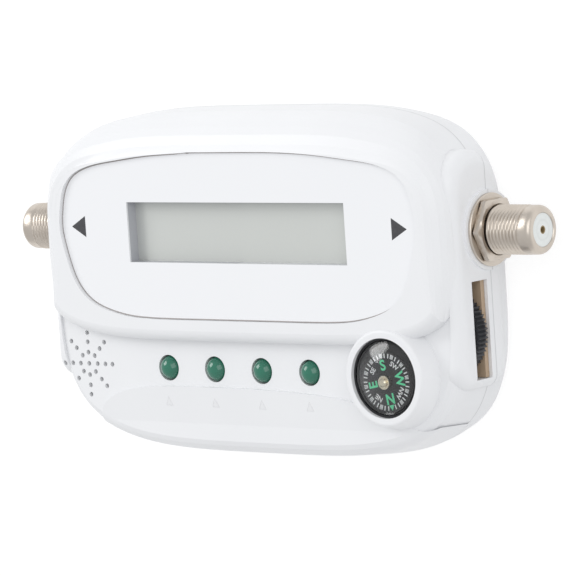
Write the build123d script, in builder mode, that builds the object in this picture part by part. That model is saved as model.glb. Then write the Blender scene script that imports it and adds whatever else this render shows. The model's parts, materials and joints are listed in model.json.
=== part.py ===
from build123d import *
import os
from math import cos, hypot, radians, sin, sqrt

# A pocket meter for aiming a satellite dish, lying on its back: +X right, +Y up the face, +Z out of it.
# Sizes are in millimetres. Depths are measured down from the printed panel's face.

# Housing
half_width = 51.45
top_y = 34.5
bottom_y = -34.25
middle_y = 1.8
upper_power = 4.15
lower_power = 3.8
panel_z = 24.0
seam_depth = 13.2
rim_depth = -0.9
band_depth = 2.8
crown_radius = 9.9
side_radius = 5.2
band_radius = 2.8
back_radius = 8.3
bottom_draft = 0.12
wall = 1.9
ceiling_depth = 2.7
outline_points = 36

# Raised pod that carries the panel, and the lip along the bottom
pod_half_width = 52.2
pod_half_height = 24.1
pod_middle_y = 13.05
pod_power = 5.2
pod_rim_radius = 2.6
chin_depth = 1.85
chin_tilt = 7.5
chin_proud = 0.25
chin_top_depth = 1.0
chin_edge_radius = 2.8

# Printed panel and its window
panel_thickness = 0.4
panel_gap = 0.05
window_width = 55.4
window_height = 12.0
window_y = 10.65

# Lamps, sound holes
lamp_first_x = -21.87
lamp_step = 12.06
lamp_count = 4
lamp_y = -16.83
lamp_radius = 2.5
lamp_hole_radius = 2.6
lamp_top_depth = 1.6
lamp_back_depth = 9.6
grille_x = -43.3
grille_y = -16.55
grille_hole_radius = 0.5
grille_ring_radii = (2.3, 4.4, 6.3)
grille_arms = 8

# Display behind the window
glass_middle_depth = 3.8
glass_back_depth = 4.9
reflector_back_depth = 5.2
display_board_depth = 8.0
display_board_back_depth = 9.2
display_post_x = 35.0
display_post_rise = 7.6

# Buzzer
buzzer_x = -41.4
buzzer_y = -15.95

# Compass
boss_x = 35.8
boss_y = -16.75
boss_rim_radius = 9.2
boss_foot_radius = 10.5
boss_rim_depth = -1.4
cup_radius = 7.7
cup_bore_radius = 7.0
cup_rim_depth = -0.6
cup_floor_depth = 6.4
cup_floor = 0.8
cup_flange_radius = 8.2
pivot_x = 35.45
pivot_y = -17.6
dome_radius = 7.25
dome_thickness = 0.7
dome_top_depth = -2.4
dome_foot_depth = -0.05
pivot_top_depth = -0.7
card_radius = 5.7
card_heading = 168.0
card_depth = 0.2
card_thickness = 0.5
pivot_radius = 0.3
pivot_clearance = 0.07

# Thumbwheel
wheel_x = 44.25
wheel_y = -9.15
wheel_radius = 8.4
wheel_front_depth = 7.6
wheel_thickness = 2.7
wheel_teeth = 58
tooth_height = 0.6
shaft_radius = 1.5
shaft_clearance = 0.06
track_foot = 7.0
track_front_depth = 10.6
track_plate = 1.1
track_tip_x = 51.2
slot_front_depth = 7.0
slot_back_depth = 11.8
slot_bottom_y = -17.85
slot_top_y = 0.95

# Screw-on sockets, 3/8-32 thread
socket_y = 10.28
thread_radius = 4.7625
thread_start_x = 54.9
neck_radius = 4.55
socket_tip_x = 64.9
pad_x = 51.9
boss_face_x = 52.4
socket_boss_radius = 7.7
pad_corner_radius = 5.0
pad_edge_radius = 2.7
pad_arch_radius = 7.8
pad_arch_y = 18.05
pad_foot_y = -19.8
pad_middle_depth = 10.0
pad_root_inset = 1.6
seat_root_x = 48.8
flange_radius = 6.2
flange_x = 47.7
flange_face_x = 49.4
washer_thickness = 0.6
nut_thickness = 1.6
nut_across_flats = 11.5
insulator_radius = 3.2
socket_tip_bevel = 1.1
pin_hole_radius = 0.6
pin_hole_length = 3.0
contact_radius = 1.0
contact_bore_radius = 0.4
contact_rod_x = 53.0

# Circuit board and screws
board_front_depth = 13.0
board_thickness = 1.6
upper_post_x = 38.0
upper_post_y = 24.5
lower_post_x = 24.0
lower_post_y = -24.5
post_radius = 2.8
screw_radius = 1.2
screw_hole_radius = 1.25
screw_head_radius = 2.2
screw_head_height = 1.8
screw_head_z = 3.2
screw_recess_radius = 2.45
rear_post_radius = 3.9
board_inset = 2.4
board_notch_x = 42.5
screw_length = 11.0
capacitor_x = 10.0
capacitor_y = -26.5
shield_length = 60.0
shield_width = 22.0
shield_z = 3.6

post_places = [
    (upper_post_x, upper_post_y),
    (-upper_post_x, upper_post_y),
    (lower_post_x, lower_post_y),
    (-lower_post_x, lower_post_y),
]
seam_z = panel_z - seam_depth
board_top_z = panel_z - board_front_depth
board_bottom_z = board_top_z - board_thickness
wheel_front_z = panel_z - wheel_front_depth
wheel_back_z = wheel_front_z - wheel_thickness

outer_depths = [rim_depth + step for step in (0, 0.15, 0.6, 1.5, 2.6, 3.6, 4.2, 5.2, 7.0)] + [seam_depth]
inner_depths = [ceiling_depth, 4.4, 7.5, seam_depth + 0.5]
rear_heights = [0, 0.15, 0.6, 1.5, 2.9, 5.0, back_radius, seam_z]
rear_inner_heights = [wall, 2.6, 4.5, back_radius, seam_z + 0.5]

os.makedirs("parts", exist_ok=True)


def level(depth):
    """Height above the back, from a depth below the panel's face."""
    return panel_z - depth


def keep(piece, name):
    """Labels a finished piece and writes it."""
    piece.part.label = name
    export_step(piece.part, f"parts/{name}.step")


def drawn_in(depth, radius):
    """How far a rounded edge has drawn a wall in, at a depth below the top of the rounding."""
    below = min(max(depth, 0.0), radius)
    return radius - sqrt(radius**2 - (radius - below) ** 2)


def eased(value, start, end):
    """Rises smoothly from 0 at start to 1 at end."""
    share = min(max((value - start) / (end - start), 0.0), 1.0)
    return share * share * (3 - 2 * share)


def sign(value):
    return 1.0 if value >= 0 else -1.0


def housing_point(angle):
    """A point of the housing's widest outline, and the outward direction there."""
    across = cos(angle)
    along = sin(angle)
    height = top_y - middle_y if along >= 0 else middle_y - bottom_y
    power = upper_power if along >= 0 else lower_power
    reach = ((abs(across) / half_width) ** power + (abs(along) / height) ** power) ** (-1 / power)
    x = reach * across
    y = reach * along
    slope_x = (abs(x) / half_width) ** (power - 1) / half_width
    slope_y = (abs(y) / height) ** (power - 1) / height
    size = hypot(slope_x, slope_y)
    return x, middle_y + y, sign(across) * slope_x / size, sign(along) * slope_y / size


def front_outline(depth, inset):
    """The front cover's outline below its rim: a deep crown on top, tight sides and a stepped-down band."""
    points = []
    for step in range(outline_points):
        x, y, out_x, out_y = housing_point(radians(step * 360 / outline_points))
        upward = max(out_y, 0.0) ** 2
        below_rim = depth - rim_depth
        upper = upward * drawn_in(below_rim, crown_radius) + (1 - upward) * drawn_in(below_rim, side_radius)
        below_band = depth - band_depth + 0.2
        lower = drawn_in(below_band, band_radius)
        share = eased(y, 5.0, -9.0)
        draft = bottom_draft * max(-out_y, 0.0) ** 2 * max(seam_depth - depth, 0.0)
        move = inset + (1 - share) * upper + share * lower + draft
        points.append((x - out_x * move, y - out_y * move))
    return points


def back_outline(height, inset):
    """The rear cover's outline at a height above the back, where its edge is rounded."""
    points = []
    for step in range(outline_points):
        x, y, out_x, out_y = housing_point(radians(step * 360 / outline_points))
        move = inset + drawn_in(height - inset, back_radius - inset)
        points.append((x - out_x * move, y - out_y * move))
    return points


def pod_outline(inset):
    """The raised pod's foot line on the band."""
    points = []
    for step in range(outline_points):
        angle = radians(step * 360 / outline_points)
        across = abs(cos(angle)) / (pod_half_width - inset)
        along = abs(sin(angle)) / (pod_half_height - inset)
        reach = (across**pod_power + along**pod_power) ** (-1 / pod_power)
        points.append((reach * cos(angle), pod_middle_y + reach * sin(angle)))
    return points


def panel_outline(grown=0.0):
    """The printed panel's outline: a nearly flat top, round shoulders and sides that draw in downwards."""
    right_half = [
        (10.6, 26.53),
        (20.3, 26.05),
        (30.0, 25.0),
        (38.5, 23.45),
        (42.3, 21.35),
        (44.0, 18.75),
        (44.9, 15.5),
        (45.3, 11.5),
        (44.5, 7.2),
        (42.6, 1.6),
        (40.8, -1.15),
        (37.9, -3.5),
        (33.8, -5.1),
        (29.8, -6.0),
        (22.0, -6.6),
        (11.0, -6.65),
    ]
    left_half = [(-x, y) for x, y in reversed(right_half)]
    points = [(0, 26.6)] + right_half + [(0, -6.65)] + left_half
    moved = []
    for index, (x, y) in enumerate(points):
        before_x, before_y = points[index - 1]
        after_x, after_y = points[(index + 1) % len(points)]
        size = hypot(after_x - before_x, after_y - before_y)
        out_x = -(after_y - before_y) / size
        out_y = (after_x - before_x) / size
        moved.append((x + out_x * grown, y + out_y * grown))
    return moved


def rounded(points):
    """A closed smooth line through points, in four stretches that share their directions where they meet."""
    count = len(points)
    starts = [count * stretch // 4 for stretch in range(5)]
    closed = points + points[:1]
    directions = []
    for start in starts:
        before = Vector(*points[(start - 1) % count])
        after = Vector(*points[(start + 1) % count])
        directions.append((after - before).normalized())
    for stretch in range(4):
        through = closed[starts[stretch] : starts[stretch + 1] + 1]
        Spline(*through, tangents=(directions[stretch], directions[stretch + 1]))


def stack(levels, outline, inset):
    """A solid whose flat sections, at heights paired with depths or heights, follow an outline."""
    with BuildPart() as body:
        for height, value in levels:
            with BuildSketch(Plane.XY.offset(height)):
                with BuildLine():
                    rounded(outline(value, inset))
                make_face()
        loft(ruled=True)
    return body.part


def front_block(inset, depths, band, pod_radius):
    """The front cover's form, or its hollow: one crowned block with the band cut down around the pod."""
    rim = depths[0]
    foot = depths[-1]
    crowned = stack([(level(depth), depth - inset) for depth in depths], front_outline, inset)
    with BuildPart() as pod:
        with BuildSketch(Plane.XY.offset(level(foot) - 1)):
            with BuildLine():
                rounded(pod_outline(inset))
            make_face()
        extrude(amount=foot + 1 - rim + 0.02)
        if pod_radius:
            fillet(pod.faces().sort_by(Axis.Z)[-1].edges(), pod_radius)
    with BuildPart() as surround:
        with BuildSketch(Plane.XY.offset(level(band))):
            Rectangle(2.6 * half_width, 2.6 * top_y)
        extrude(amount=band - rim + 1.0)
        add(pod.part, mode=Mode.SUBTRACT)
    with BuildPart() as block:
        add(crowned)
        add(surround.part, mode=Mode.SUBTRACT)
    return block.part


def side_pads():
    """Flat pads with a round top on both sides, rooted in the housing's wall."""
    root_x = half_width - 10
    middle_z = level(pad_middle_depth)
    with BuildPart() as core:
        with BuildSketch():
            with BuildLine():
                rounded(back_outline(back_radius + pad_root_inset, pad_root_inset))
            make_face()
        extrude(amount=panel_z)
    with BuildPart() as pads:
        with BuildSketch(Plane.YZ.offset(root_x)) as side:
            with Locations(((pad_arch_y + pad_foot_y) / 2, middle_z)):
                Rectangle(pad_arch_y - pad_foot_y, 2 * pad_arch_radius)
            with Locations((pad_arch_y, middle_z)):
                Circle(pad_arch_radius)
            fillet(side.vertices().group_by(Axis.X)[0], pad_corner_radius)
        extrude(amount=pad_x - root_x)
        fillet(pads.faces().sort_by(Axis.X)[-1].edges(), pad_edge_radius)
        add(core.part, mode=Mode.SUBTRACT)
        mirror(about=Plane.YZ)
    return pads.part


def seats(radius, start_x, end_x):
    """Round solids on the sockets' axis, on both sides."""
    with BuildPart() as pair:
        with BuildSketch(Plane.YZ.offset(start_x)):
            with Locations((socket_y, seam_z)):
                Circle(radius)
        extrude(amount=end_x - start_x)
        mirror(about=Plane.YZ)
    return pair.part


def chin_lower_edge(depth):
    """The lip's lower edge, which follows the housing's drafted wall and stands a little proud of it."""
    points = []
    for step in range(17):
        x, y, out_x, out_y = housing_point(radians(-142.5 + step * 109.5 / 16))
        move = bottom_draft * out_y**2 * (seam_depth - depth) - chin_proud
        points.append((x - out_x * move, y - out_y * move))
    return points


def chin_lip():
    """The lip along the bottom: a lens in front view, with a face that leans down and a rounded lower edge."""
    upper = [(41.5, -27.4), (37.0, -26.0), (25.3, -22.25), (14.0, -20.95), (2.5, -20.45), (-10.0, -20.35)]
    upper += [(-22.0, -20.45), (-30.5, -21.15), (-35.5, -22.35), (-38.9, -24.2), (-40.6, -26.6)]
    with BuildPart() as lip:
        for depth in (seam_depth, chin_top_depth):
            lower = chin_lower_edge(depth)
            with BuildSketch(Plane.XY.offset(level(depth))):
                with BuildLine():
                    Spline(*lower)
                    Spline(lower[-1], *upper, lower[0])
                make_face()
        loft(ruled=True)
        face_plane = Plane(
            origin=(0, -20.6, level(chin_depth)),
            z_dir=(0, -sin(radians(chin_tilt)), cos(radians(chin_tilt))),
        )
        split(bisect_by=face_plane, keep=Keep.BOTTOM)
        edges = lip.faces().sort_by(Axis.Z)[-1].edges().sort_by(Axis.Y)
        fillet(edges[0], chin_edge_radius)
    return lip.part


def compass_boss():
    """A slightly conical boss around the compass, with a rounded rim that stands above the pod."""
    depth = 7.0
    slope = (boss_foot_radius - boss_rim_radius) / (band_depth - boss_rim_depth)
    height = depth - boss_rim_depth
    with BuildPart() as boss:
        with Locations((boss_x, boss_y, level(depth))):
            Cone(
                bottom_radius=boss_rim_radius + slope * height,
                top_radius=boss_rim_radius,
                height=height,
                align=(Align.CENTER, Align.CENTER, Align.MIN),
            )
        fillet(boss.faces().sort_by(Axis.Z)[-1].edges(), 0.7)
    return boss.part


outer_form = front_block(0.0, outer_depths, band_depth, pod_rim_radius)
inner_form = front_block(wall, inner_depths, band_depth + wall, 0)
pads = side_pads()
socket_seats = seats(socket_boss_radius, seat_root_x, boss_face_x)
with BuildPart() as socket_holes:
    add(seats(thread_radius + 0.1, half_width - 8, boss_face_x + 1))
    add(seats(flange_radius + 0.1, half_width - 8, flange_face_x))

display_post_places = [
    (display_post_x, window_y + display_post_rise),
    (display_post_x, window_y - display_post_rise),
    (-display_post_x, window_y + display_post_rise),
    (-display_post_x, window_y - display_post_rise),
]
# Hollow of the front cover, less the posts that stand in it
with BuildPart() as front_hollow:
    add(inner_form)
    with BuildSketch(Plane.XY.offset(board_top_z)):
        with Locations(*post_places):
            Circle(post_radius)
    extrude(amount=board_front_depth, mode=Mode.SUBTRACT)
    with BuildSketch(Plane.XY.offset(level(display_board_depth))):
        with Locations(*display_post_places):
            Circle(1.9)
    extrude(amount=display_board_depth, mode=Mode.SUBTRACT)

# Front cover
with BuildPart() as front_cover:
    add(outer_form)
    add(chin_lip())
    add(compass_boss())
    add(front_hollow.part, mode=Mode.SUBTRACT)
    add(pads)
    add(socket_seats)
    with BuildSketch(Plane.XY.offset(seam_z)):
        Rectangle(3 * half_width, 3 * top_y)
    extrude(amount=-seam_z, mode=Mode.SUBTRACT)
    with BuildSketch(Plane.XY.offset(level(panel_thickness))):
        with BuildLine():
            rounded(panel_outline())
        make_face()
    extrude(amount=panel_thickness + 2.5, mode=Mode.SUBTRACT)
    with BuildSketch(Plane.XY.offset(level(ceiling_depth) - 1)):
        with Locations((0, window_y)):
            Rectangle(window_width, window_height)
    extrude(amount=ceiling_depth + 1, mode=Mode.SUBTRACT)
    with BuildSketch(Plane.XY.offset(level(band_depth + wall) - 1)):
        for lamp in range(lamp_count):
            with Locations((lamp_first_x + lamp * lamp_step, lamp_y)):
                Circle(lamp_hole_radius)
        with Locations((grille_x, grille_y)):
            Circle(grille_hole_radius)
            for ring_radius in grille_ring_radii:
                with PolarLocations(ring_radius, grille_arms):
                    Circle(grille_hole_radius)
    extrude(amount=wall + 2, mode=Mode.SUBTRACT)
    with BuildSketch(Plane.XY.offset(level(band_depth + wall) - 3)):
        with Locations((boss_x, boss_y)):
            Circle(cup_radius + 0.05)
    extrude(amount=band_depth + wall + 6, mode=Mode.SUBTRACT)
    with BuildSketch(Plane.YZ.offset(half_width - 5)):
        with Locations(((slot_bottom_y + slot_top_y) / 2, level((slot_front_depth + slot_back_depth) / 2))):
            Rectangle(slot_top_y - slot_bottom_y, slot_back_depth - slot_front_depth)
    extrude(amount=10, mode=Mode.SUBTRACT)
    add(socket_holes.part, mode=Mode.SUBTRACT)
    with BuildSketch(Plane.XY.offset(board_top_z)):
        with Locations(*post_places):
            Circle(screw_hole_radius)
    extrude(amount=6.5, mode=Mode.SUBTRACT)
    with BuildSketch(Plane.XY.offset(level(display_board_depth))):
        with Locations(*display_post_places):
            Circle(0.85)
    extrude(amount=4.0, mode=Mode.SUBTRACT)
keep(front_cover, "front_cover")

# Rear cover, with posts that carry the board
with BuildPart() as rear_cover:
    add(stack([(height, height) for height in rear_heights], back_outline, 0.0))
    add(stack([(height, height) for height in rear_inner_heights], back_outline, wall), mode=Mode.SUBTRACT)
    with BuildSketch(Plane.XY.offset(wall / 2)):
        with Locations(*post_places):
            Circle(rear_post_radius)
    extrude(amount=board_bottom_z - wall / 2)
    add(pads)
    add(socket_seats)
    with BuildSketch(Plane.XY.offset(seam_z)):
        Rectangle(3 * half_width, 3 * top_y)
    extrude(amount=panel_z, mode=Mode.SUBTRACT)
    add(socket_holes.part, mode=Mode.SUBTRACT)
    with BuildSketch():
        with Locations(*post_places):
            Circle(screw_recess_radius)
    extrude(amount=screw_head_z + screw_head_height, mode=Mode.SUBTRACT)
    with BuildSketch():
        with Locations(*post_places):
            Circle(screw_radius + 0.1)
    extrude(amount=board_bottom_z, mode=Mode.SUBTRACT)
keep(rear_cover, "rear_cover")

# Printed panel
with BuildPart() as face_panel:
    with BuildSketch(Plane.XY.offset(level(panel_thickness))):
        with BuildLine():
            rounded(panel_outline(-panel_gap))
        make_face()
        with Locations((0, window_y)):
            Rectangle(window_width, window_height, mode=Mode.SUBTRACT)
    extrude(amount=panel_thickness)
keep(face_panel, "face_panel")


def slab(width, height, front_depth, back_depth):
    """A rectangular plate behind the window, between two depths."""
    with BuildPart() as plate:
        with BuildSketch(Plane.XY.offset(level(back_depth))):
            with Locations((0, window_y)):
                Rectangle(width, height)
        extrude(amount=back_depth - front_depth)
    return plate


# Display: two sheets of glass, a reflector, a backlight, contact strips and the frame round them
with BuildPart() as display_glass:
    add(slab(62, 19, ceiling_depth, glass_middle_depth).part)
    add(slab(62, 15.5, glass_middle_depth, glass_back_depth).part)
keep(display_glass, "display_glass")

display_reflector = slab(61, 15, glass_back_depth, reflector_back_depth)
keep(display_reflector, "display_reflector")

display_backlight = slab(58, 14, reflector_back_depth, display_board_depth)
keep(display_backlight, "display_backlight")

with BuildPart() as contact_strips:
    with BuildSketch(Plane.XY.offset(level(display_board_depth))):
        with Locations((0, window_y + 8.6), (0, window_y - 8.6)):
            Rectangle(58, 1.6)
    extrude(amount=display_board_depth - glass_middle_depth)
keep(contact_strips, "contact_strips")

with BuildPart() as display_frame:
    with BuildSketch(Plane.XY.offset(level(display_board_depth))):
        with Locations((0, window_y)):
            RectangleRounded(66, 22, 1.0)
            Rectangle(62.2, 19.4, mode=Mode.SUBTRACT)
    extrude(amount=display_board_depth - ceiling_depth)
keep(display_frame, "display_frame")

with BuildPart() as display_board:
    with BuildSketch(Plane.XY.offset(level(display_board_back_depth))):
        with Locations((0, window_y)):
            RectangleRounded(74, 22, 1.0)
        with Locations(*display_post_places):
            Circle(1.0, mode=Mode.SUBTRACT)
    extrude(amount=display_board_back_depth - display_board_depth)
keep(display_board, "display_board")

with BuildPart() as display_chip:
    with BuildSketch(Plane.XY.offset(level(display_board_back_depth + 1.3))):
        with Locations((-12, window_y + 1)):
            RectangleRounded(9, 9, 0.4)
    extrude(amount=1.3)
    chamfer(display_chip.faces().sort_by(Axis.Z)[0].edges(), 0.2)
keep(display_chip, "display_chip")

with BuildPart() as display_screws:
    with BuildSketch(Plane.XY.offset(level(display_board_back_depth + 1.1))):
        with Locations(*display_post_places):
            Circle(1.6)
    extrude(amount=1.1)
    chamfer(display_screws.faces().sort_by(Axis.Z)[:4].edges(), 0.3)
    with BuildSketch(Plane.XY.offset(level(display_board_back_depth))):
        with Locations(*display_post_places):
            Circle(0.8)
    extrude(amount=display_board_back_depth - display_board_depth + 3.5)
keep(display_screws, "display_screws")

with BuildPart() as link_pins:
    with BuildSketch(Plane.XY.offset(board_top_z)):
        with Locations((0, window_y - 9.2)):
            with GridLocations(2.54, 1, 10, 1):
                Rectangle(0.6, 0.6)
    extrude(amount=board_front_depth - display_board_back_depth)
keep(link_pins, "link_pins")

# Lamps
for lamp in range(lamp_count):
    lamp_x = lamp_first_x + lamp * lamp_step
    with BuildPart() as lens:
        with BuildSketch(Plane.XZ.offset(-lamp_y)):
            with BuildLine():
                dome_foot = level(lamp_top_depth + lamp_radius)
                Line((lamp_x, level(lamp_top_depth)), (lamp_x, level(lamp_back_depth)))
                Polyline(
                    (lamp_x, level(lamp_back_depth)),
                    (lamp_x + lamp_radius + 0.4, level(lamp_back_depth)),
                    (lamp_x + lamp_radius + 0.4, level(lamp_back_depth - 1)),
                    (lamp_x + lamp_radius, level(lamp_back_depth - 1)),
                    (lamp_x + lamp_radius, dome_foot),
                )
                RadiusArc((lamp_x + lamp_radius, dome_foot), (lamp_x, level(lamp_top_depth)), -lamp_radius)
            make_face()
        revolve(axis=Axis((lamp_x, lamp_y, 0), (0, 0, 1)))
    keep(lens, f"lamp_{lamp + 1}")

with BuildPart() as lamp_leads:
    with BuildSketch(Plane.XY.offset(board_top_z)):
        for lamp in range(lamp_count):
            with Locations((lamp_first_x + lamp * lamp_step, lamp_y)):
                with GridLocations(2.54, 1, 2, 1):
                    Rectangle(0.5, 0.5)
    extrude(amount=board_front_depth - lamp_back_depth)
keep(lamp_leads, "lamp_leads")

# Buzzer
with BuildPart() as buzzer_case:
    with Locations((buzzer_x, buzzer_y, level(11.4))):
        Cylinder(5.0, 5.4, align=(Align.CENTER, Align.CENTER, Align.MIN))
        Cylinder(4.7, 3.4, align=(Align.CENTER, Align.CENTER, Align.MIN), mode=Mode.SUBTRACT)
        Cylinder(4.3, 4.5, align=(Align.CENTER, Align.CENTER, Align.MIN), mode=Mode.SUBTRACT)
        Cylinder(1.2, 5.4, align=(Align.CENTER, Align.CENTER, Align.MIN), mode=Mode.SUBTRACT)
    chamfer(buzzer_case.faces().sort_by(Axis.Z)[-1].outer_wire().edges(), 0.4)
keep(buzzer_case, "buzzer_case")

with BuildPart() as buzzer_diaphragm:
    with Locations((buzzer_x, buzzer_y, level(8.2))):
        Cylinder(4.65, 0.2, align=(Align.CENTER, Align.CENTER, Align.MIN))
keep(buzzer_diaphragm, "buzzer_diaphragm")

with BuildPart() as buzzer_base:
    with Locations((buzzer_x, buzzer_y, level(11.4))):
        Cylinder(4.65, 1.4, align=(Align.CENTER, Align.CENTER, Align.MIN))
keep(buzzer_base, "buzzer_base")

with BuildPart() as buzzer_pins:
    with BuildSketch(Plane.XY.offset(board_top_z)):
        with Locations((buzzer_x - 2.5, buzzer_y), (buzzer_x + 2.5, buzzer_y)):
            Circle(0.35)
    extrude(amount=board_front_depth - 11.4)
keep(buzzer_pins, "buzzer_pins")

# Compass
boss_axis = Axis((boss_x, boss_y, 0), (0, 0, 1))
cup_floor_z = level(cup_floor_depth)
cup_wall_x = boss_x + cup_radius
ledge_x = boss_x + dome_radius + 0.05
bore_x = boss_x + cup_bore_radius
cup_flange_x = boss_x + cup_flange_radius
cup_flange_z = level(band_depth + wall)
with BuildPart() as compass_cup:
    with BuildSketch(Plane.XZ.offset(-boss_y)):
        with BuildLine():
            Polyline(
                (boss_x, cup_floor_z - cup_floor),
                (cup_wall_x, cup_floor_z - cup_floor),
                (cup_wall_x, cup_flange_z - 1),
                (cup_flange_x, cup_flange_z - 1),
                (cup_flange_x, cup_flange_z),
                (cup_wall_x, cup_flange_z),
                (cup_wall_x, level(cup_rim_depth)),
                (ledge_x, level(cup_rim_depth)),
                (ledge_x, level(dome_foot_depth)),
                (bore_x, level(dome_foot_depth)),
                (bore_x, cup_floor_z),
                (boss_x, cup_floor_z),
                close=True,
            )
        make_face()
    revolve(axis=boss_axis)
    with Locations((pivot_x, pivot_y, cup_floor_z - cup_floor)):
        Cylinder(pivot_radius, cup_floor, align=(Align.CENTER, Align.CENTER, Align.MIN), mode=Mode.SUBTRACT)
keep(compass_cup, "compass_cup")

with BuildPart() as compass_dome:
    with BuildSketch(Plane.XZ.offset(-boss_y)):
        with BuildLine():
            outer_rim = (boss_x + dome_radius, level(-0.5))
            inner_rim = (boss_x + dome_radius - 0.7, level(dome_foot_depth))
            Line((boss_x, level(dome_top_depth + dome_thickness)), (boss_x, level(dome_top_depth)))
            TangentArc((boss_x, level(dome_top_depth)), outer_rim, tangent=(1, 0))
            Polyline(outer_rim, (boss_x + dome_radius, level(dome_foot_depth)), inner_rim)
            TangentArc((boss_x, level(dome_top_depth + dome_thickness)), inner_rim, tangent=(1, 0))
        make_face()
    revolve(axis=boss_axis)
keep(compass_dome, "compass_dome")

with BuildPart() as compass_pivot:
    with Locations((pivot_x, pivot_y, cup_floor_z - cup_floor)):
        Cylinder(
            pivot_radius,
            level(pivot_top_depth) - cup_floor_z + cup_floor,
            align=(Align.CENTER, Align.CENTER, Align.MIN),
        )
    chamfer(compass_pivot.faces().sort_by(Axis.Z)[-1].edges(), 0.2)
keep(compass_pivot, "compass_pivot")

hub_radius = 1.3
pivot_bore_radius = pivot_radius + pivot_clearance
with BuildPart() as compass_card:
    with BuildSketch(Plane.XY.offset(level(card_depth + card_thickness))):
        with Locations((pivot_x, pivot_y)):
            Circle(card_radius)
            Circle(pivot_bore_radius, mode=Mode.SUBTRACT)
    extrude(amount=card_thickness)
keep(compass_card, "compass_card")

with BuildPart() as compass_magnet:
    with BuildSketch(Plane.XY.offset(level(card_depth + card_thickness + 1))):
        with Locations(Location((pivot_x, pivot_y), 90 - card_heading)):
            RectangleRounded(8, 2.2, 0.4)
        with Locations((pivot_x, pivot_y)):
            Circle(0.6, mode=Mode.SUBTRACT)
    extrude(amount=1.0)
keep(compass_magnet, "compass_magnet")

with BuildPart() as compass_cap:
    with BuildSketch(Plane.XY.offset(level(card_depth))):
        with Locations((pivot_x, pivot_y)):
            Circle(hub_radius)
    extrude(amount=0.9)
    with BuildSketch(Plane.XY.offset(level(card_depth))):
        with Locations((pivot_x, pivot_y)):
            Circle(0.8)
    extrude(amount=1.5)
    chamfer(compass_cap.faces().sort_by(Axis.Z)[-1].edges(), 0.25)
    with BuildSketch(Plane.XY.offset(level(card_depth))):
        with Locations((pivot_x, pivot_y)):
            Circle(pivot_bore_radius)
    extrude(amount=card_depth - pivot_top_depth + 0.2, mode=Mode.SUBTRACT)
keep(compass_cap, "compass_cap")

# Sockets: a threaded barrel with its flange inside the covers, a washer, a nut, an insulator and a contact
across = Plane.YZ


def ring_between(start_x, end_x, outer, inner):
    """A turned ring on the socket's axis."""
    with BuildPart() as ring:
        with BuildSketch(across.offset(start_x)):
            with Locations((socket_y, seam_z)):
                Circle(outer)
                Circle(inner, mode=Mode.SUBTRACT)
        extrude(amount=end_x - start_x)
    return ring


with BuildPart() as socket_barrel:
    add(ring_between(flange_x, flange_face_x, flange_radius, insulator_radius + 0.02).part)
    add(ring_between(flange_face_x, thread_start_x, neck_radius, insulator_radius + 0.02).part)
    add(ring_between(thread_start_x, socket_tip_x, thread_radius, insulator_radius + 0.02).part)
    chamfer(socket_barrel.faces().sort_by(Axis.X)[-1].outer_wire().edges(), socket_tip_bevel)
socket_washer = ring_between(boss_face_x, boss_face_x + washer_thickness, 7.0, thread_radius + 0.09)
nut_x = boss_face_x + washer_thickness
with BuildPart() as socket_nut:
    with BuildSketch(across.offset(nut_x)):
        with Locations((socket_y, seam_z)):
            RegularPolygon(nut_across_flats / 2, 6, major_radius=False)
            Circle(neck_radius + 0.03, mode=Mode.SUBTRACT)
    extrude(amount=nut_thickness)
insulator_tip_x = socket_tip_x - 0.2
contact_tip_x = insulator_tip_x - pin_hole_length
with BuildPart() as socket_insulator:
    add(ring_between(flange_x, contact_tip_x, insulator_radius, 1.05).part)
    add(ring_between(contact_tip_x, insulator_tip_x, insulator_radius, pin_hole_radius).part)
tail_x = board_notch_x - 3.0
with BuildPart() as socket_contact:
    add(ring_between(contact_rod_x, contact_tip_x, contact_radius, contact_bore_radius).part)
    with BuildSketch(across.offset(flange_x + 0.2)):
        with Locations((socket_y, seam_z)):
            Circle(contact_radius)
    extrude(amount=contact_rod_x - flange_x - 0.2)
    with BuildSketch(across.offset(board_notch_x + 0.5)):
        with Locations((socket_y, seam_z)):
            Circle(pin_hole_radius)
    extrude(amount=flange_x + 0.2 - board_notch_x - 0.5)
    with BuildSketch(Plane.XY.offset(board_top_z)):
        with Locations(((tail_x + board_notch_x + 1) / 2, socket_y)):
            Rectangle(board_notch_x + 1 - tail_x, 1.2)
    extrude(amount=0.3)

socket_pieces = {
    "socket": socket_barrel,
    "washer": socket_washer,
    "nut": socket_nut,
    "insulator": socket_insulator,
    "contact": socket_contact,
}
for piece_name, piece in socket_pieces.items():
    keep(piece, f"right_{piece_name}")
    with BuildPart() as mirrored:
        add(piece.part)
        mirror(about=Plane.YZ, mode=Mode.REPLACE)
    keep(mirrored, f"left_{piece_name}")

# Main board: the housing's outline drawn in, notched for the sockets
with BuildPart() as main_board:
    with BuildSketch(Plane.XY.offset(board_bottom_z)):
        with BuildLine():
            rounded(back_outline(back_radius + board_inset, board_inset))
        make_face()
        with Locations((board_notch_x + 5, socket_y), (-board_notch_x - 5, socket_y)):
            Rectangle(10, 2 * socket_boss_radius + 0.6, mode=Mode.SUBTRACT)
        with Locations(*post_places):
            Circle(screw_hole_radius + 0.05, mode=Mode.SUBTRACT)
    extrude(amount=board_thickness)
keep(main_board, "main_board")


def chip(x, y, width, height, thickness):
    """A moulded chip's body, just off the board's rear."""
    with BuildPart() as body:
        with BuildSketch(Plane.XY.offset(board_bottom_z - 0.1)):
            with Locations((x, y)):
                Rectangle(width, height)
        extrude(amount=-thickness)
        chamfer(body.faces().sort_by(Axis.Z)[0].edges(), 0.2)
    return body


controller_chip = chip(-8, -11, 12, 12, 1.4)
keep(controller_chip, "controller_chip")
amplifier_chip = chip(6, socket_y, 5, 4, 1.4)
keep(amplifier_chip, "amplifier_chip")

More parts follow.
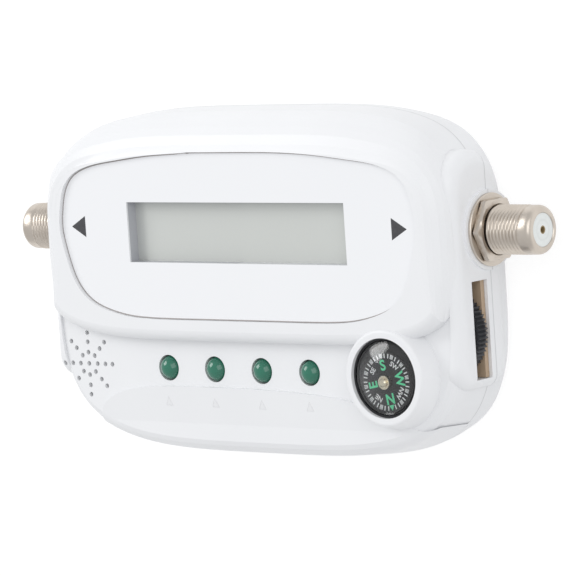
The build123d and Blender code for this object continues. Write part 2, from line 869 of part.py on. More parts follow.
with BuildPart() as chip_legs:
    with BuildSketch(Plane.XY.offset(board_bottom_z)):
        with Locations((-8, -11)):
            with GridLocations(13.2, 1.6, 2, 7):
                Rectangle(1.2, 0.6)
            with GridLocations(1.6, 13.2, 7, 2):
                Rectangle(0.6, 1.2)
        with Locations((6, socket_y)):
            with GridLocations(1.27, 5.0, 4, 2):
                Rectangle(0.45, 1.0)
    extrude(amount=-0.5)
keep(chip_legs, "chip_legs")

with BuildPart() as crystal:
    with BuildSketch(Plane.XY.offset(board_bottom_z)):
        with Locations((12, -10)):
            SlotOverall(11, 4.6)
    extrude(amount=-0.5)
    with BuildSketch(Plane.XY.offset(board_bottom_z - 0.5)):
        with Locations((12, -10)):
            SlotOverall(10.2, 3.8)
    extrude(amount=-3.0)
    chamfer(crystal.faces().sort_by(Axis.Z)[0].edges(), 0.4)
keep(crystal, "crystal")

with BuildPart() as capacitors:
    with BuildSketch(Plane.XY.offset(board_top_z)):
        with Locations((capacitor_x, capacitor_y), (0, capacitor_y), (-capacitor_x, capacitor_y)):
            Circle(2.5)
    extrude(amount=6.0)
    chamfer(capacitors.faces().sort_by(Axis.Z)[-3:].edges(), 0.3)
keep(capacitors, "capacitors")

with BuildPart() as voltage_regulator:
    with BuildSketch(Plane.XY.offset(board_bottom_z)):
        with Locations((27, -10)):
            Rectangle(6.5, 3.5)
    extrude(amount=-1.6)
    chamfer(voltage_regulator.faces().sort_by(Axis.Z)[0].edges(), 0.3)
    with BuildSketch(Plane.XY.offset(board_bottom_z)):
        with Locations((27, -7.6)):
            Rectangle(3.0, 1.4)
        with Locations((27, -12.6)):
            with GridLocations(2.3, 1, 3, 1):
                Rectangle(0.8, 1.8)
    extrude(amount=-0.4)
keep(voltage_regulator, "voltage_regulator")

with BuildPart() as choke_coil:
    with Locations((-28, -10, board_bottom_z)):
        Cylinder(4.0, 0.9, align=(Align.CENTER, Align.CENTER, Align.MAX))
        Cylinder(2.8, 4.2, align=(Align.CENTER, Align.CENTER, Align.MAX))
    with Locations((-28, -10, board_bottom_z - 3.3)):
        Cylinder(4.0, 0.9, align=(Align.CENTER, Align.CENTER, Align.MAX))
keep(choke_coil, "choke_coil")

with BuildPart() as rf_shield:
    with BuildSketch(Plane.XY.offset(shield_z)):
        with Locations((0, socket_y)):
            Rectangle(shield_length, shield_width)
            Rectangle(shield_length - 0.8, shield_width - 0.8, mode=Mode.SUBTRACT)
        with Locations((-6, socket_y)):
            Rectangle(0.4, shield_width)
    extrude(amount=board_bottom_z - shield_z)
keep(rf_shield, "rf_shield")

with BuildPart() as shield_lid:
    with BuildSketch(Plane.XY.offset(shield_z - 0.3)):
        with Locations((0, socket_y)):
            Rectangle(shield_length + 0.7, shield_width + 0.7)
    extrude(amount=2.5)
    with BuildSketch(Plane.XY.offset(shield_z)):
        with Locations((0, socket_y)):
            Rectangle(shield_length + 0.05, shield_width + 0.05)
    extrude(amount=2.5, mode=Mode.SUBTRACT)
    with BuildSketch(Plane.XY.offset(shield_z - 0.3)):
        with Locations((0, socket_y)):
            with GridLocations(8, 8, 6, 2):
                Circle(0.9)
    extrude(amount=0.3, mode=Mode.SUBTRACT)
keep(shield_lid, "shield_lid")

# Thumbwheel on its track: a toothed disc, a shaft, a wiper, and the track's base with three terminals
tooth_pitch = 360 / wheel_teeth
shaft_top_z = wheel_front_z + 0.6
wheel_outline = []
for tooth in range(wheel_teeth):
    for turn, reach in ((0.0, wheel_radius), (0.5, wheel_radius - tooth_height)):
        angle = radians((tooth + turn) * tooth_pitch)
        wheel_outline.append((wheel_x + reach * cos(angle), wheel_y + reach * sin(angle)))
with BuildPart() as thumbwheel:
    with BuildSketch(Plane.XY.offset(wheel_back_z)):
        with BuildLine():
            Polyline(*wheel_outline, close=True)
        make_face()
        with Locations((wheel_x, wheel_y)):
            Circle(shaft_radius + 0.02, mode=Mode.SUBTRACT)
    extrude(amount=wheel_thickness)
    with BuildSketch(Plane.XY.offset(wheel_back_z)):
        with Locations((wheel_x, wheel_y)):
            Circle(5.7)
            Circle(2.1, mode=Mode.SUBTRACT)
    extrude(amount=0.4, mode=Mode.SUBTRACT)
keep(thumbwheel, "thumbwheel")

with BuildPart() as wheel_shaft:
    with Locations((wheel_x, wheel_y, board_top_z + 0.2)):
        Cylinder(shaft_radius, shaft_top_z - board_top_z - 0.2, align=(Align.CENTER, Align.CENTER, Align.MIN))
    chamfer(wheel_shaft.faces().sort_by(Axis.Z)[-1].edges(), 0.3)
    with BuildSketch(Plane.XY.offset(shaft_top_z)):
        with Locations((wheel_x, wheel_y)):
            Rectangle(0.5, 2.4)
    extrude(amount=-0.4, mode=Mode.SUBTRACT)
keep(wheel_shaft, "wheel_shaft")

with BuildPart() as wheel_wiper:
    with BuildSketch(Plane.XY.offset(wheel_back_z + 0.05)):
        with Locations((wheel_x, wheel_y)):
            Circle(5.4)
            Circle(4.2, mode=Mode.SUBTRACT)
            Circle(3.0)
            Circle(2.2, mode=Mode.SUBTRACT)
            with GridLocations(7.2, 1, 2, 1):
                Rectangle(1.6, 1.2)
    extrude(amount=0.35)
keep(wheel_wiper, "wheel_wiper")

track_plate_back_z = level(track_front_depth + track_plate)
track_start_x = wheel_x - track_foot
track_block_x = half_width - wall - 0.6
track_height = slot_top_y - slot_bottom_y - 0.2
track_middle_y = (slot_top_y + slot_bottom_y) / 2
with BuildPart() as track_base:
    with BuildSketch(Plane.XY.offset(board_top_z)):
        with Locations(((track_start_x + track_block_x) / 2, wheel_y)):
            Rectangle(track_block_x - track_start_x, 11)
    extrude(amount=track_plate_back_z - board_top_z)
    with BuildSketch(Plane.XY.offset(track_plate_back_z)):
        with Locations(((track_start_x + track_tip_x) / 2, track_middle_y)):
            Rectangle(track_tip_x - track_start_x, track_height)
    extrude(amount=track_plate)
    with BuildSketch(Plane.XY.offset(board_top_z)):
        with Locations((wheel_x, wheel_y)):
            Circle(shaft_radius + shaft_clearance)
    extrude(amount=board_front_depth, mode=Mode.SUBTRACT)
keep(track_base, "track_base")

with BuildPart() as track_terminals:
    with BuildSketch(Plane.XY.offset(board_top_z)):
        with Locations((wheel_x - track_foot - 1.25, wheel_y)):
            with GridLocations(1, 3, 1, 3):
                Rectangle(2.5, 1.2)
    extrude(amount=0.3)
keep(track_terminals, "track_terminals")

# Screws that hold the covers together from the back
with BuildPart() as case_screws:
    with BuildSketch(Plane.XY.offset(screw_head_z)):
        with Locations(*post_places):
            Circle(screw_head_radius)
    extrude(amount=screw_head_height)
    chamfer(case_screws.faces().sort_by(Axis.Z)[:4].edges(), 0.4)
    with BuildSketch(Plane.XY.offset(screw_head_z + screw_head_height)):
        with Locations(*post_places):
            Circle(screw_radius)
    extrude(amount=screw_length)
keep(case_screws, "case_screws")
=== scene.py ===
import json
from math import atan2, cos, pi, radians, sin

import bmesh
import bpy
from mathutils import Matrix, Vector


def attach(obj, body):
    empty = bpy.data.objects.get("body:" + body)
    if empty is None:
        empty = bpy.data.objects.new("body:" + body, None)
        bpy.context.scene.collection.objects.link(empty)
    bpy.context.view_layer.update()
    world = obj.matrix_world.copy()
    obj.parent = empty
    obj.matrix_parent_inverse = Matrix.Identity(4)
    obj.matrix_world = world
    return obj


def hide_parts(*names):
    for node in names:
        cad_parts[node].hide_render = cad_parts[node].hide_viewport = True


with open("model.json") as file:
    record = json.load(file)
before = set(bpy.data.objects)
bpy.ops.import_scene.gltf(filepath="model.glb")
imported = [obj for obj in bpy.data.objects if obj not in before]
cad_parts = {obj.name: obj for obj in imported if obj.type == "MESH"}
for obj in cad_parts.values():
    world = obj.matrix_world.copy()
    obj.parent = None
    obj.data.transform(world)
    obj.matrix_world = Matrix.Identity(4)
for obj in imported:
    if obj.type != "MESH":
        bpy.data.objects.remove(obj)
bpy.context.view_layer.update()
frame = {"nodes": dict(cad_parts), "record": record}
nodes = frame["nodes"]

MM = 0.001

# Places on the meter, in millimetres in the frame's axes: X across the face, Y up it, Z out of it
PANEL_Z = 24.0
SEAM_Z = 10.8
SOCKET_Y = 10.28
THREAD_RADIUS = 4.7625
THREAD_PITCH = 0.794
THREAD_DEPTH = 0.36
THREAD_END_X = 62.3
THREAD_START_X = 54.9
NECK_RADIUS = 4.55
SOCKET_TIP_X = 64.9
SEAT_X = 52.4
WASHER = 0.6
NUT = 1.6
NUT_FLATS = 11.5
INSULATOR_RADIUS = 3.2
PIVOT = (35.45, -17.6)
CARD_TOP_Z = 23.8
NORTH_HEADING = 168.0
CARDINAL_RADIUS = 3.15
CARDINAL_SIZE = 2.75
BETWEEN_RADIUS = 3.65
BETWEEN_SIZE = 1.35
TICK_RADII = (4.55, 5.4)
LAMP_X = (-21.87, -9.81, 2.25, 14.31)
LAMP_Y = -16.83
DISPLAY_LEFT_SHADE = 24.6
DISPLAY_TOP_SHADE = 16.0
WINDOW_HALF_WIDTH = 27.8
WINDOW_HALF_HEIGHT = 6.1
CHIN_MARK_Y = -23.35
CHIN_MARK_HALF = 0.95

# The photograph's camera, found from the face's outline
AZIMUTH = radians(39.7613)
ELEVATION = radians(6.0549)
ROLL = radians(3.8543)
FOCAL_PIXELS = 4226.18
PICTURE_PIXELS = 576
SENSOR = 36.0
DISTANCE = 824.137
WINDOW_PIXEL = (234.2585, 233.2228)
WINDOW_CENTRE = Vector((0, 10.65, PANEL_Z))


# Shader maths


class Value:
    """A number on a shader socket, which takes part in Python expressions."""

    def __init__(self, finish, socket):
        self.finish = finish
        self.socket = socket

    def joined(self, operation, first, second=None, clamp=False):
        settings = {"operation": operation, "use_clamp": clamp}
        values = {0: first} if second is None else {0: first, 1: second}
        return Value(self.finish, self.finish.node("ShaderNodeMath", settings, values).outputs[0])

    def __add__(self, other):
        return self.joined("ADD", self, other)

    __radd__ = __add__

    def __sub__(self, other):
        return self.joined("SUBTRACT", self, other)

    def __rsub__(self, other):
        return self.joined("SUBTRACT", other, self)

    def __mul__(self, other):
        return self.joined("MULTIPLY", self, other)

    __rmul__ = __mul__

    def __truediv__(self, other):
        return self.joined("DIVIDE", self, other)

    def __rtruediv__(self, other):
        return self.joined("DIVIDE", other, self)

    def __pow__(self, other):
        return self.joined("POWER", abs(self), other)

    def __gt__(self, other):
        return self.joined("GREATER_THAN", self, other)

    def __lt__(self, other):
        return self.joined("LESS_THAN", self, other)

    def __abs__(self):
        return self.joined("ABSOLUTE", self)

    def most(self, other):
        return self.joined("MAXIMUM", self, other)

    def wave(self):
        return self.joined("SINE", self)

    def kept(self):
        """The value held between 0 and 1."""
        return self.joined("ADD", self, 0.0, clamp=True)


class Finish:
    """A material built up from nodes: its surface shader, and one method that adds any other node."""

    def __init__(self, name, colour, roughness, **constants):
        self.material = bpy.data.materials.new(name)
        self.material.use_nodes = True
        self.tree = self.material.node_tree
        self.surface = self.tree.nodes["Principled BSDF"]
        self.surface.inputs["Base Color"].default_value = (*colour, 1.0)
        self.surface.inputs["Roughness"].default_value = roughness
        for key, value in constants.items():
            self.surface.inputs[key.replace("_", " ")].default_value = value
        self.material.diffuse_color = (*colour, 1.0)

    def node(self, kind, settings=None, values=None):
        made = self.tree.nodes.new(kind)
        for key, value in (settings or {}).items():
            setattr(made, key, value)
        for key, value in (values or {}).items():
            self.feed(made.inputs[key], value)
        return made

    def feed(self, socket, value):
        if isinstance(value, Value):
            value = value.socket
        if isinstance(value, bpy.types.NodeSocket):
            self.tree.links.new(value, socket)
        else:
            socket.default_value = value

    def place(self):
        """The surface point, in millimetres, as three values."""
        point = self.node("ShaderNodeTexCoord").outputs["Object"]
        split = self.node("ShaderNodeSeparateXYZ", values={0: point})
        return [Value(self, split.outputs[axis]) / MM for axis in range(3)]

    def noise(self, per_mm, detail=2.0, roughness=0.5, stretch=(1, 1, 1)):
        point = self.node("ShaderNodeTexCoord").outputs["Object"]
        scale = [per_mm / MM * part for part in stretch]
        scaled = self.node(
            "ShaderNodeVectorMath", {"operation": "MULTIPLY"}, {0: point, 1: scale}
        ).outputs[0]
        made = self.node(
            "ShaderNodeTexNoise",
            values={"Vector": scaled, "Scale": 1.0, "Detail": detail, "Roughness": roughness},
        )
        return Value(self, made.outputs["Fac"])

    def mix(self, share, first, second):
        """A colour between two: the first where the share is 0, the second where it is 1."""
        colours = [c if isinstance(c, bpy.types.NodeSocket) else (*c[:3], 1.0) for c in (first, second)]
        made = self.node(
            "ShaderNodeMix", {"data_type": "RGBA"}, {"Factor": share, 6: colours[0], 7: colours[1]}
        )
        return made.outputs[2]

    def paint(self, colour):
        self.feed(self.surface.inputs["Base Color"], colour)

    def rough(self, value):
        self.feed(self.surface.inputs["Roughness"], value)

    def bump(self, height, distance_mm, strength=1.0):
        made = self.node(
            "ShaderNodeBump",
            values={"Height": height, "Distance": distance_mm * MM, "Strength": strength},
        )
        self.feed(self.surface.inputs["Normal"], made.outputs["Normal"])


# Finishes


def shell_finish():
    """White moulded case plastic: nearly smooth, with a fine spark texture and a faint line at the joint."""
    finish = Finish("white_shell", (0.80, 0.81, 0.83), 0.42, Coat_Weight=0.12, Coat_Roughness=0.25)
    x, y, z = finish.place()
    cloudy = finish.noise(0.05, 3)
    grain = finish.noise(3.2, 2)
    tone = finish.mix(cloudy, (0.815, 0.82, 0.835), (0.855, 0.86, 0.87))
    joint = (1 - abs(z - SEAM_Z) / 0.16).kept()
    below_tip = (CHIN_MARK_Y + CHIN_MARK_HALF - y) / (2 * CHIN_MARK_HALF)
    within_height = (below_tip > 0) * (below_tip < 1) * (z > SEAM_Z)
    triangles = within_height * 0
    for lamp_x in LAMP_X:
        side_gap = below_tip * CHIN_MARK_HALF - abs(x - lamp_x)
        triangles = triangles.most((side_gap / 0.12).kept())
    triangles = triangles * within_height
    # The embossed triangles under the lamps: the bump gives their relief, and their slight darkening is
    # painted shade.
    tone = finish.mix(triangles * 0.10, tone, (0.55, 0.54, 0.54))
    within_window = (abs(x) < WINDOW_HALF_WIDTH) * (abs(y - WINDOW_CENTRE.y) < WINDOW_HALF_HEIGHT)
    window_shade = within_window * (z > SEAM_Z) * (0.45 + (x < 0) * 0.40)
    tone = finish.mix(window_shade, tone, (0.42, 0.43, 0.46))
    finish.paint(finish.mix(joint * 0.55, tone, (0.40, 0.40, 0.41)))
    finish.rough(0.36 + grain * 0.12)
    finish.bump(grain * 0.6 - joint * 6 + triangles * 8, 0.012)
    return finish.material


def panel_finish():
    """Glossy printed panel: cool white with a grey arrow at each side, pointing to the sockets."""
    finish = Finish("white_panel", (0.87, 0.88, 0.91), 0.14, Coat_Weight=0.35, Coat_Roughness=0.06)
    x, y, z = finish.place()
    reach = abs(x)
    base_x, tip_x, middle_y, half_height = 39.0, 42.7, 11.7, 2.15
    slope = half_height / (tip_x - base_x)
    inside = (reach > base_x) * ((abs(y - middle_y) - (tip_x - reach) * slope) < 0)
    speckle = finish.noise(1.6, 3)
    ink = finish.mix(speckle, (0.028, 0.028, 0.032), (0.07, 0.07, 0.075))
    ground = finish.mix(finish.noise(0.04, 2), (0.868, 0.874, 0.890), (0.886, 0.890, 0.905))
    finish.paint(finish.mix(inside, ground, ink))
    finish.rough(0.12 + finish.noise(0.6, 2) * 0.06)
    finish.bump(finish.noise(0.25, 2), 0.01, 0.3)
    return finish.material


def display_finish():
    """The display seen through its glass: grey green, a little darker towards its edges."""
    finish = Finish("display_glass", (0.60, 0.62, 0.58), 0.10, Coat_Weight=0.6, Coat_Roughness=0.03)
    x, y, z = finish.place()
    left_edge = ((x + DISPLAY_LEFT_SHADE) / -2.6).kept()
    top_edge = ((y - DISPLAY_TOP_SHADE) / 0.5).kept()
    shade = finish.noise(0.03, 2) * 0.35 + left_edge * 0.75 + top_edge * 0.8
    fine = finish.noise(2.5, 2)
    tone = finish.mix(shade.kept(), (0.605, 0.622, 0.595), (0.44, 0.455, 0.445))
    finish.paint(finish.mix(fine * 0.25, tone, (0.64, 0.655, 0.62)))
    finish.rough(0.08 + fine * 0.06)
    return finish.material


def plastic_finish(name, dark, light, roughness=0.45, per_mm=0.8, coat=0.0):
    finish = Finish(name, dark, roughness, Coat_Weight=coat, Coat_Roughness=0.1)
    grain = finish.noise(per_mm, 3)
    finish.paint(finish.mix(grain, dark, light))
    finish.rough(roughness - 0.06 + grain * 0.12)
    finish.bump(grain, 0.02, 0.4)
    return finish.material


def metal_finish(name, dark, light, roughness=0.28, per_mm=0.7, stretch=(1, 1, 1)):
    finish = Finish(name, dark, roughness, Metallic=1.0)
    cloud = finish.noise(0.35, 3)
    brushed = finish.noise(per_mm, 3, stretch=stretch)
    finish.paint(finish.mix(cloud, dark, light))
    finish.rough(roughness - 0.08 + brushed * 0.18)
    finish.bump(brushed, 0.01, 0.5)
    return finish.material


def lens_finish():
    """Green diffused resin, painted lighter towards the top of the dome and darker towards its foot: painted
    light and shade.
    """
    finish = Finish("green_lens", (0.01, 0.19, 0.09), 0.12, Coat_Weight=0.5, Coat_Roughness=0.04, IOR=1.5)
    x, y, z = finish.place()
    # Painted light and shade: the dome's top is painted lighter and its foot darker.
    height = ((z - 19.6) / 2.8).kept()
    tone = finish.mix(height, (0.003, 0.060, 0.034), (0.014, 0.160, 0.098))
    haze = finish.noise(0.9, 2)
    finish.paint(finish.mix(haze * 0.3, tone, (0.022, 0.205, 0.13)))
    finish.rough(0.12 + haze * 0.05)
    return finish.material


def dome_finish():
    """Clear moulded dome."""
    finish = Finish("clear_dome", (0.97, 0.98, 0.98), 0.02, Transmission_Weight=1.0, IOR=1.46)
    smear = finish.noise(0.25, 2)
    finish.rough(0.01 + smear * 0.03)
    return finish.material


def board_finish():
    """Lacquered laminate: tan, with faint darker weave."""
    finish = Finish("board", (0.50, 0.38, 0.24), 0.45, Coat_Weight=0.2)
    x, y, z = finish.place()
    weave = (x * 9).wave() * (y * 9).wave() * 0.5 + 0.5
    tone = finish.mix(finish.noise(0.12, 3), (0.47, 0.355, 0.22), (0.56, 0.44, 0.29))
    finish.paint(finish.mix(weave * 0.2, tone, (0.36, 0.27, 0.16)))
    finish.rough(0.38 + finish.noise(1.2) * 0.14)
    return finish.material


def insulator_finish():
    """White plug in the socket, with a brassy ring round its centre hole."""
    finish = Finish("white_insulator", (0.78, 0.80, 0.78), 0.35, Coat_Weight=0.2)
    x, y, z = finish.place()
    radius = ((y - SOCKET_Y) ** 2 + (z - SEAM_Z) ** 2) ** 0.5
    tone = finish.mix(finish.noise(1.2, 2), (0.74, 0.77, 0.755), (0.83, 0.85, 0.84))
    moulded = (1 - abs(radius - 1.9) / 0.35).kept()
    # The moulded ring: the bump gives its relief, and its darker tone is painted shade.
    tone = finish.mix(moulded * 0.25, tone, (0.60, 0.62, 0.60))
    finish.paint(finish.mix((radius < 0.8) * 1.0, tone, (0.34, 0.25, 0.13)))
    finish.bump(moulded, 0.05, 0.6)
    return finish.material


def solder_band_finish(name, dark, light):
    """Striped rubber that joins the glass to the display board."""
    finish = Finish(name, dark, 0.6)
    x, y, z = finish.place()
    stripes = (x * 12).wave() * 0.5 + 0.5
    finish.paint(finish.mix(stripes, dark, light))
    finish.bump(finish.noise(1.0), 0.02)
    return finish.material


finishes = {
    "white_shell": shell_finish(),
    "white_panel": panel_finish(),
    "display_glass": display_finish(),
    "display_film": plastic_finish("display_film", (0.60, 0.62, 0.56), (0.66, 0.68, 0.62)),
    "white_frame": plastic_finish("white_frame", (0.68, 0.68, 0.66), (0.76, 0.76, 0.74)),
    "contact_rubber": solder_band_finish("contact_rubber", (0.25, 0.20, 0.22), (0.42, 0.36, 0.38)),
    "board": board_finish(),
    "chip": plastic_finish("chip", (0.018, 0.018, 0.02), (0.045, 0.045, 0.048), 0.5, 2.0),
    "steel": metal_finish("steel", (0.52, 0.52, 0.52), (0.66, 0.66, 0.65)),
    "gold_pins": metal_finish("gold_pins", (0.68, 0.46, 0.16), (0.85, 0.64, 0.30), 0.25),
    "green_lens": lens_finish(),
    "tinned_leads": metal_finish("tinned_leads", (0.58, 0.58, 0.57), (0.72, 0.72, 0.70), 0.35),
    "brass": metal_finish("brass", (0.60, 0.52, 0.38), (0.80, 0.74, 0.62), 0.24, 2.0),
    "compass_black": plastic_finish("compass_black", (0.008, 0.008, 0.010), (0.020, 0.020, 0.023), 0.45, 1.5),
    "clear_dome": dome_finish(),
    "copper_wire": metal_finish("copper_wire", (0.50, 0.20, 0.08), (0.70, 0.32, 0.14), 0.3, 2.0),
    "tin_plate": metal_finish("tin_plate", (0.56, 0.56, 0.54), (0.70, 0.70, 0.68), 0.34, 0.5),
    "track_brown": plastic_finish("track_brown", (0.40, 0.29, 0.19), (0.50, 0.38, 0.27)),
    "nickel": metal_finish("nickel", (0.54, 0.48, 0.42), (0.68, 0.62, 0.55), 0.33, 0.9, (6, 1, 1)),
    "white_insulator": insulator_finish(),
    "wheel_plastic": plastic_finish("wheel_plastic", (0.022, 0.023, 0.027), (0.05, 0.052, 0.058), 0.38, 1.5),
    "spring_brass": metal_finish("spring_brass", (0.60, 0.44, 0.20), (0.80, 0.62, 0.34)),
    "compass_card": plastic_finish("compass_card", (0.003, 0.003, 0.004), (0.010, 0.010, 0.012), 0.62, 2.5),
    "magnet": metal_finish("magnet", (0.30, 0.30, 0.32), (0.42, 0.42, 0.44), 0.4),
}
mint_paint = plastic_finish("mint_paint", (0.08, 0.78, 0.36), (0.16, 0.88, 0.48), 0.5, 4.0)
white_paint = plastic_finish("white_paint", (0.90, 0.92, 0.92), (0.97, 0.98, 0.98), 0.5, 4.0)
gap_shadow = plastic_finish("gap_shadow", (0.30, 0.27, 0.26), (0.46, 0.43, 0.42), 0.6, 0.3)

for entry in frame["record"]["subparts"]:
    mesh = nodes[entry["node"]].data
    mesh.materials.clear()
    mesh.materials.append(finishes[entry["material_slot"]])


# Mesh helpers


def piece_from(name, points, faces, material, body="case", smooth=False):
    """A mesh piece from points in millimetres, riding on a body."""
    mesh = bpy.data.meshes.new(name)
    mesh.from_pydata([Vector(p) * MM for p in points], [], faces)
    mesh.validate()
    mesh.materials.append(material)
    piece = bpy.data.objects.new(name, mesh)
    bpy.context.scene.collection.objects.link(piece)
    if smooth:
        mesh.shade_smooth()
    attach(piece, body)
    return piece


def on_socket_axis(x, radius, angle, side):
    return (side * x, SOCKET_Y + radius * cos(angle), SEAM_Z + radius * sin(angle))


def turned(name, outline, side, material, replaced, around=96):
    """A ring about a socket's axis, from closed (x, radius) pairs, where a radius may depend on the angle."""
    points = []
    for x, radius in outline:
        for step in range(around):
            angle = 2 * pi * step / around
            reach = radius(angle) if callable(radius) else radius
            points.append(on_socket_axis(x, reach, angle, side))
    faces = []
    rings = len(outline)
    for ring in range(rings):
        following = (ring + 1) % rings
        for step in range(around):
            ahead = (step + 1) % around
            quad = (
                ring * around + step,
                ring * around + ahead,
                following * around + ahead,
                following * around + step,
            )
            faces.append(quad if side < 0 else quad[::-1])
    piece = piece_from(name, points, faces, material, smooth=True)
    piece.data.set_sharp_from_angle(angle=radians(28))
    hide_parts(replaced)
    return piece


def thread_radius(x):
    """The thread's radius as a function of the angle at a distance along the socket's axis."""

    def at(angle):
        turn = (x / THREAD_PITCH + angle / (2 * pi)) % 1.0
        rise = abs(2 * turn - 1)
        return THREAD_RADIUS - THREAD_DEPTH * min(max(rise * 1.5 - 0.25, 0.0), 1.0)

    return at


def make_socket(side, word):
    flange_x, flange_face_x, flange_radius = 47.7, 49.4, 6.2
    outline = [(flange_x, INSULATOR_RADIUS + 0.02), (flange_x, flange_radius), (flange_face_x, flange_radius)]
    outline.append((flange_face_x, NECK_RADIUS - 0.2))
    outline.append((THREAD_START_X - 0.4, NECK_RADIUS - 0.2))
    steps = int((THREAD_END_X - THREAD_START_X) / THREAD_PITCH * 8)
    for step in range(steps + 1):
        x = THREAD_START_X - 0.3 + step * THREAD_PITCH / 8
        outline.append((x, thread_radius(x)))
    smooth = THREAD_RADIUS - 0.06
    outline.append((THREAD_END_X + 0.1, smooth))
    round_over, ring = 1.15, 1.0
    for step in range(7):
        angle = pi / 2 * step / 6
        x = SOCKET_TIP_X - round_over + round_over * sin(angle)
        outline.append((x, smooth - ring + ring * cos(angle)))
    outline.append((SOCKET_TIP_X, INSULATOR_RADIUS + 0.15))
    outline.append((SOCKET_TIP_X - 0.15, INSULATOR_RADIUS + 0.02))
    return turned(f"{word}_threaded_barrel", outline, side, finishes["nickel"], f"{word}_socket")


def hexagon_radius(flats, spare=0.0):
    """The distance from the axis to a hexagon's edge, with its corners trimmed to a circle."""

    def at(angle):
        turn = (angle + pi / 6) % (pi / 3) - pi / 6
        return min(flats / 2 / cos(turn), flats / 2 * 1.1547 - spare)

    return at


def make_nut(side, word):
    low = SEAT_X + WASHER
    top = low + NUT
    bore = NECK_RADIUS + 0.03
    outline = [
        (low, bore),
        (low, NUT_FLATS / 2 - 0.1),
        (low + 0.22, hexagon_radius(NUT_FLATS, 0.12)),
        (top - 0.30, hexagon_radius(NUT_FLATS, 0.12)),
        (top, NUT_FLATS / 2 - 0.1),
        (top, bore + 0.35),
        (top - 0.3, bore),
    ]
    return turned(f"{word}_hex_nut", outline, side, finishes["nickel"], f"{word}_nut", around=192)


def make_washer(side, word):
    low = SEAT_X
    top = low + WASHER
    bore = THREAD_RADIUS + 0.09
    outline = [(low, bore), (low, 6.9), (low + 0.12, 7.0), (top - 0.15, 7.0), (top, 6.85), (top, bore)]
    name = f"{word}_flat_washer"
    return turned(name, outline, side, finishes["nickel"], f"{word}_washer", around=128)


for side, word in ((1, "right"), (-1, "left")):
    make_socket(side, word)
    make_nut(side, word)
    make_washer(side, word)


def make_panel_line():
    """The thin dark gap between the panel and its pocket, as painted shadow: a flat dark ribbon on the
    panel's own outline.
    """
    points = [vertex.co / MM for vertex in nodes["face_panel"].data.vertices]
    top_z = max(point.z for point in points)
    centre = Vector((0, WINDOW_CENTRE.y, top_z))
    rim = [p - centre for p in points if p.z > top_z - 0.01]
    rim = [p for p in rim if abs(p.x) > 30 or abs(p.y) > 12]
    rim.sort(key=lambda p: atan2(p.y, p.x))
    count = len(rim)
    outer = [centre + p for p in rim]
    inner = []
    for step, p in enumerate(rim):
        along = rim[(step + 1) % count] - rim[step - 1]
        inward = Vector((-along.y, along.x, 0)).normalized()
        inner.append(centre + p + 0.2 * inward)
    lift = Vector((0, 0, 0.012))
    faces = []
    for step in range(count):
        ahead = (step + 1) % count
        faces.append((step, ahead, count + ahead, count + step))
    piece_from("panel_gap_painted_shadow", [p + lift for p in outer + inner], faces, gap_shadow)


make_panel_line()


def compass_point(radius, heading):
    """A point on the card at a radius, with the heading counted clockwise from the top."""
    angle = radians(90 - heading)
    return Vector((PIVOT[0] + radius * cos(angle), PIVOT[1] + radius * sin(angle), CARD_TOP_Z))


def flat_shape(name, outline, height, material, body):
    """A thin flat plate from an outline of points in one plane."""
    count = len(outline)
    lifted = [Vector(p) + Vector((0, 0, height)) for p in outline]
    points = [Vector(p) for p in outline] + lifted
    faces = [tuple(range(count))[::-1], tuple(range(count, 2 * count))]
    for step in range(count):
        ahead = (step + 1) % count
        faces.append((step, ahead, count + ahead, count + step))
    piece = piece_from(name, points, faces, material, body)
    made = bmesh.new()
    made.from_mesh(piece.data)
    bmesh.ops.recalc_face_normals(made, faces=made.faces)
    made.to_mesh(piece.data)
    made.free()
    return piece


def make_letter(letter, heading, radius, size, weight, material):
    """A letter printed on the card with its top outwards."""
    curve = bpy.data.curves.new(f"card_mark_{letter}", "FONT")
    curve.body = letter
    curve.align_x = "CENTER"
    curve.align_y = "CENTER"
    curve.size = size * MM
    curve.extrude = 0.012 * MM
    curve.offset = weight * MM
    made = bpy.data.objects.new(f"card_text_{letter}", curve)
    bpy.context.scene.collection.objects.link(made)
    bpy.context.view_layer.update()
    mesh = bpy.data.meshes.new_from_object(made.evaluated_get(bpy.context.evaluated_depsgraph_get()))
    bpy.data.objects.remove(made)
    at = compass_point(radius, heading) + Vector((0, 0, 0.02))
    mesh.transform(Matrix.Translation(at * MM) @ Matrix.Rotation(radians(-heading), 4, "Z"))
    mesh.materials.clear()
    mesh.materials.append(material)
    piece = bpy.data.objects.new(f"card_letter_{letter}", mesh)
    bpy.context.scene.collection.objects.link(piece)
    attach(piece, "compass_card")


def make_tick(name, heading, half_width):
    inner, outer = TICK_RADII
    ends = []
    for radius, turn in ((inner, -1), (outer, -1), (outer, 1), (inner, 1)):
        spread = half_width / radius * 180 / pi
        ends.append(compass_point(radius, heading + turn * spread))
    flat_shape(name, ends, 0.02, white_paint, "compass_card")


def make_card_marks():
    cardinals = {"N": 0, "E": 90, "S": 180, "W": 270}
    for letter, turn in cardinals.items():
        make_letter(letter, NORTH_HEADING + turn, CARDINAL_RADIUS, CARDINAL_SIZE, 0.075, mint_paint)
    between = {"NE": 45, "SE": 135, "SW": 225, "NW": 315}
    for letter, turn in between.items():
        make_letter(letter, NORTH_HEADING + turn, BETWEEN_RADIUS, BETWEEN_SIZE, 0.03, white_paint)
    for step in range(1, 36):
        heading = NORTH_HEADING + step * 10
        if step % 3:
            make_tick(f"card_tick_{step:02d}", heading, 0.12)
        else:
            for place, turn in enumerate((-2.9, 0, 2.9)):
                make_tick(f"card_tick_{step:02d}_{place}", heading + turn, 0.085)
    arrow = [compass_point(5.45, NORTH_HEADING)]
    arrow.append(compass_point(4.45, NORTH_HEADING - 8))
    arrow.append(compass_point(4.45, NORTH_HEADING + 8))
    flat_shape("card_north_arrow", arrow, 0.02, mint_paint, "compass_card")


make_card_marks()


# Camera, light and floor


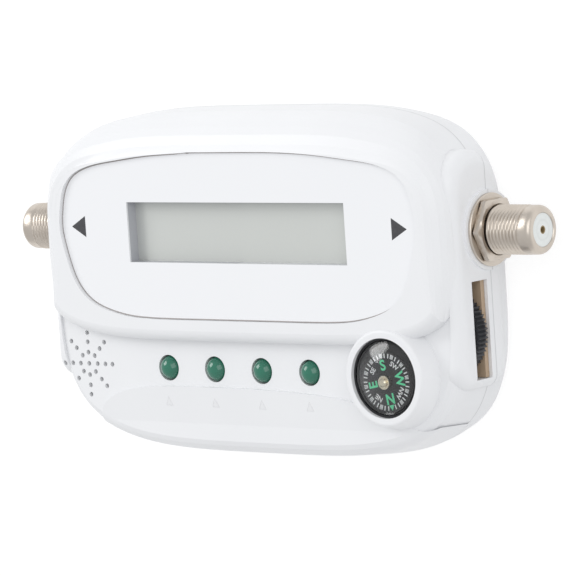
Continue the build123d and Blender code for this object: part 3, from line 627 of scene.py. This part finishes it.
def set_camera():
    back = Vector((sin(AZIMUTH) * cos(ELEVATION), sin(ELEVATION), cos(AZIMUTH) * cos(ELEVATION)))
    right = Vector((cos(AZIMUTH), 0, -sin(AZIMUTH)))
    up = back.cross(right)
    right, up = cos(ROLL) * right - sin(ROLL) * up, sin(ROLL) * right + cos(ROLL) * up
    per_pixel = DISTANCE / FOCAL_PIXELS
    middle = PICTURE_PIXELS / 2
    aside = (WINDOW_PIXEL[0] - middle) * per_pixel
    above = -(WINDOW_PIXEL[1] - middle) * per_pixel
    eye = WINDOW_CENTRE + DISTANCE * back - aside * right - above * up
    data = bpy.data.cameras.new("camera")
    data.sensor_width = SENSOR
    data.lens = FOCAL_PIXELS / PICTURE_PIXELS * SENSOR
    data.clip_end = 20
    camera = bpy.data.objects.new("camera", data)
    bpy.context.scene.collection.objects.link(camera)
    axes = Matrix((right, up, back)).transposed().to_4x4()
    camera.matrix_world = Matrix.Translation(eye * MM) @ axes
    bpy.context.scene.camera = camera


def add_lamp(name, direction, distance, size, power, colour=(1, 1, 1)):
    """A square soft light that looks at the meter's middle."""
    data = bpy.data.lights.new(name, "AREA")
    data.shape = "SQUARE"
    data.size = size
    data.energy = power
    data.color = colour
    lamp = bpy.data.objects.new(name, data)
    bpy.context.scene.collection.objects.link(lamp)
    place = Vector(direction).normalized() * distance
    lamp.matrix_world = Matrix.Translation(place) @ place.to_track_quat("Z", "Y").to_matrix().to_4x4()


def set_stage():
    size = 3.0
    corners = [(-size, -size, 0), (size, -size, 0), (size, size, 0), (-size, size, 0)]
    mesh = bpy.data.meshes.new("floor")
    mesh.from_pydata(corners, [], [(0, 1, 2, 3)])
    floor = bpy.data.objects.new("floor", mesh)
    bpy.context.scene.collection.objects.link(floor)
    finish = Finish("floor_paper", (0.90, 0.90, 0.90), 0.9)
    path = finish.node("ShaderNodeLightPath")
    seen = Value(finish, path.outputs["Is Camera Ray"]).most(Value(finish, path.outputs["Is Glossy Ray"]))
    seen = seen.most(Value(finish, path.outputs["Is Transmission Ray"]))
    finish.surface.inputs["Emission Color"].default_value = (1, 1, 1, 1)
    glow = finish.node("ShaderNodeEmission", values={"Color": (1, 1, 1, 1), "Strength": 1.15})
    blend = finish.node(
        "ShaderNodeMixShader",
        values={0: seen * 0.72, 1: finish.surface.outputs[0], 2: glow.outputs[0]},
    )
    finish.feed(finish.tree.nodes["Material Output"].inputs["Surface"], blend.outputs[0])
    mesh.materials.append(finish.material)
    world = bpy.data.worlds.new("studio")
    bpy.context.scene.world = world
    world.use_nodes = True
    sky = world.node_tree.nodes["Background"]
    sky.inputs["Color"].default_value = (0.975, 0.985, 1.0, 1.0)
    sky.inputs["Strength"].default_value = 0.74


set_camera()
set_stage()
add_lamp("key", (-0.72, 0.46, 0.60), 0.9, 0.42, 2.3)
add_lamp("fill", (0.75, 0.35, 0.85), 1.2, 0.9, 3.4)
bpy.context.scene.view_settings.view_transform = "Standard"
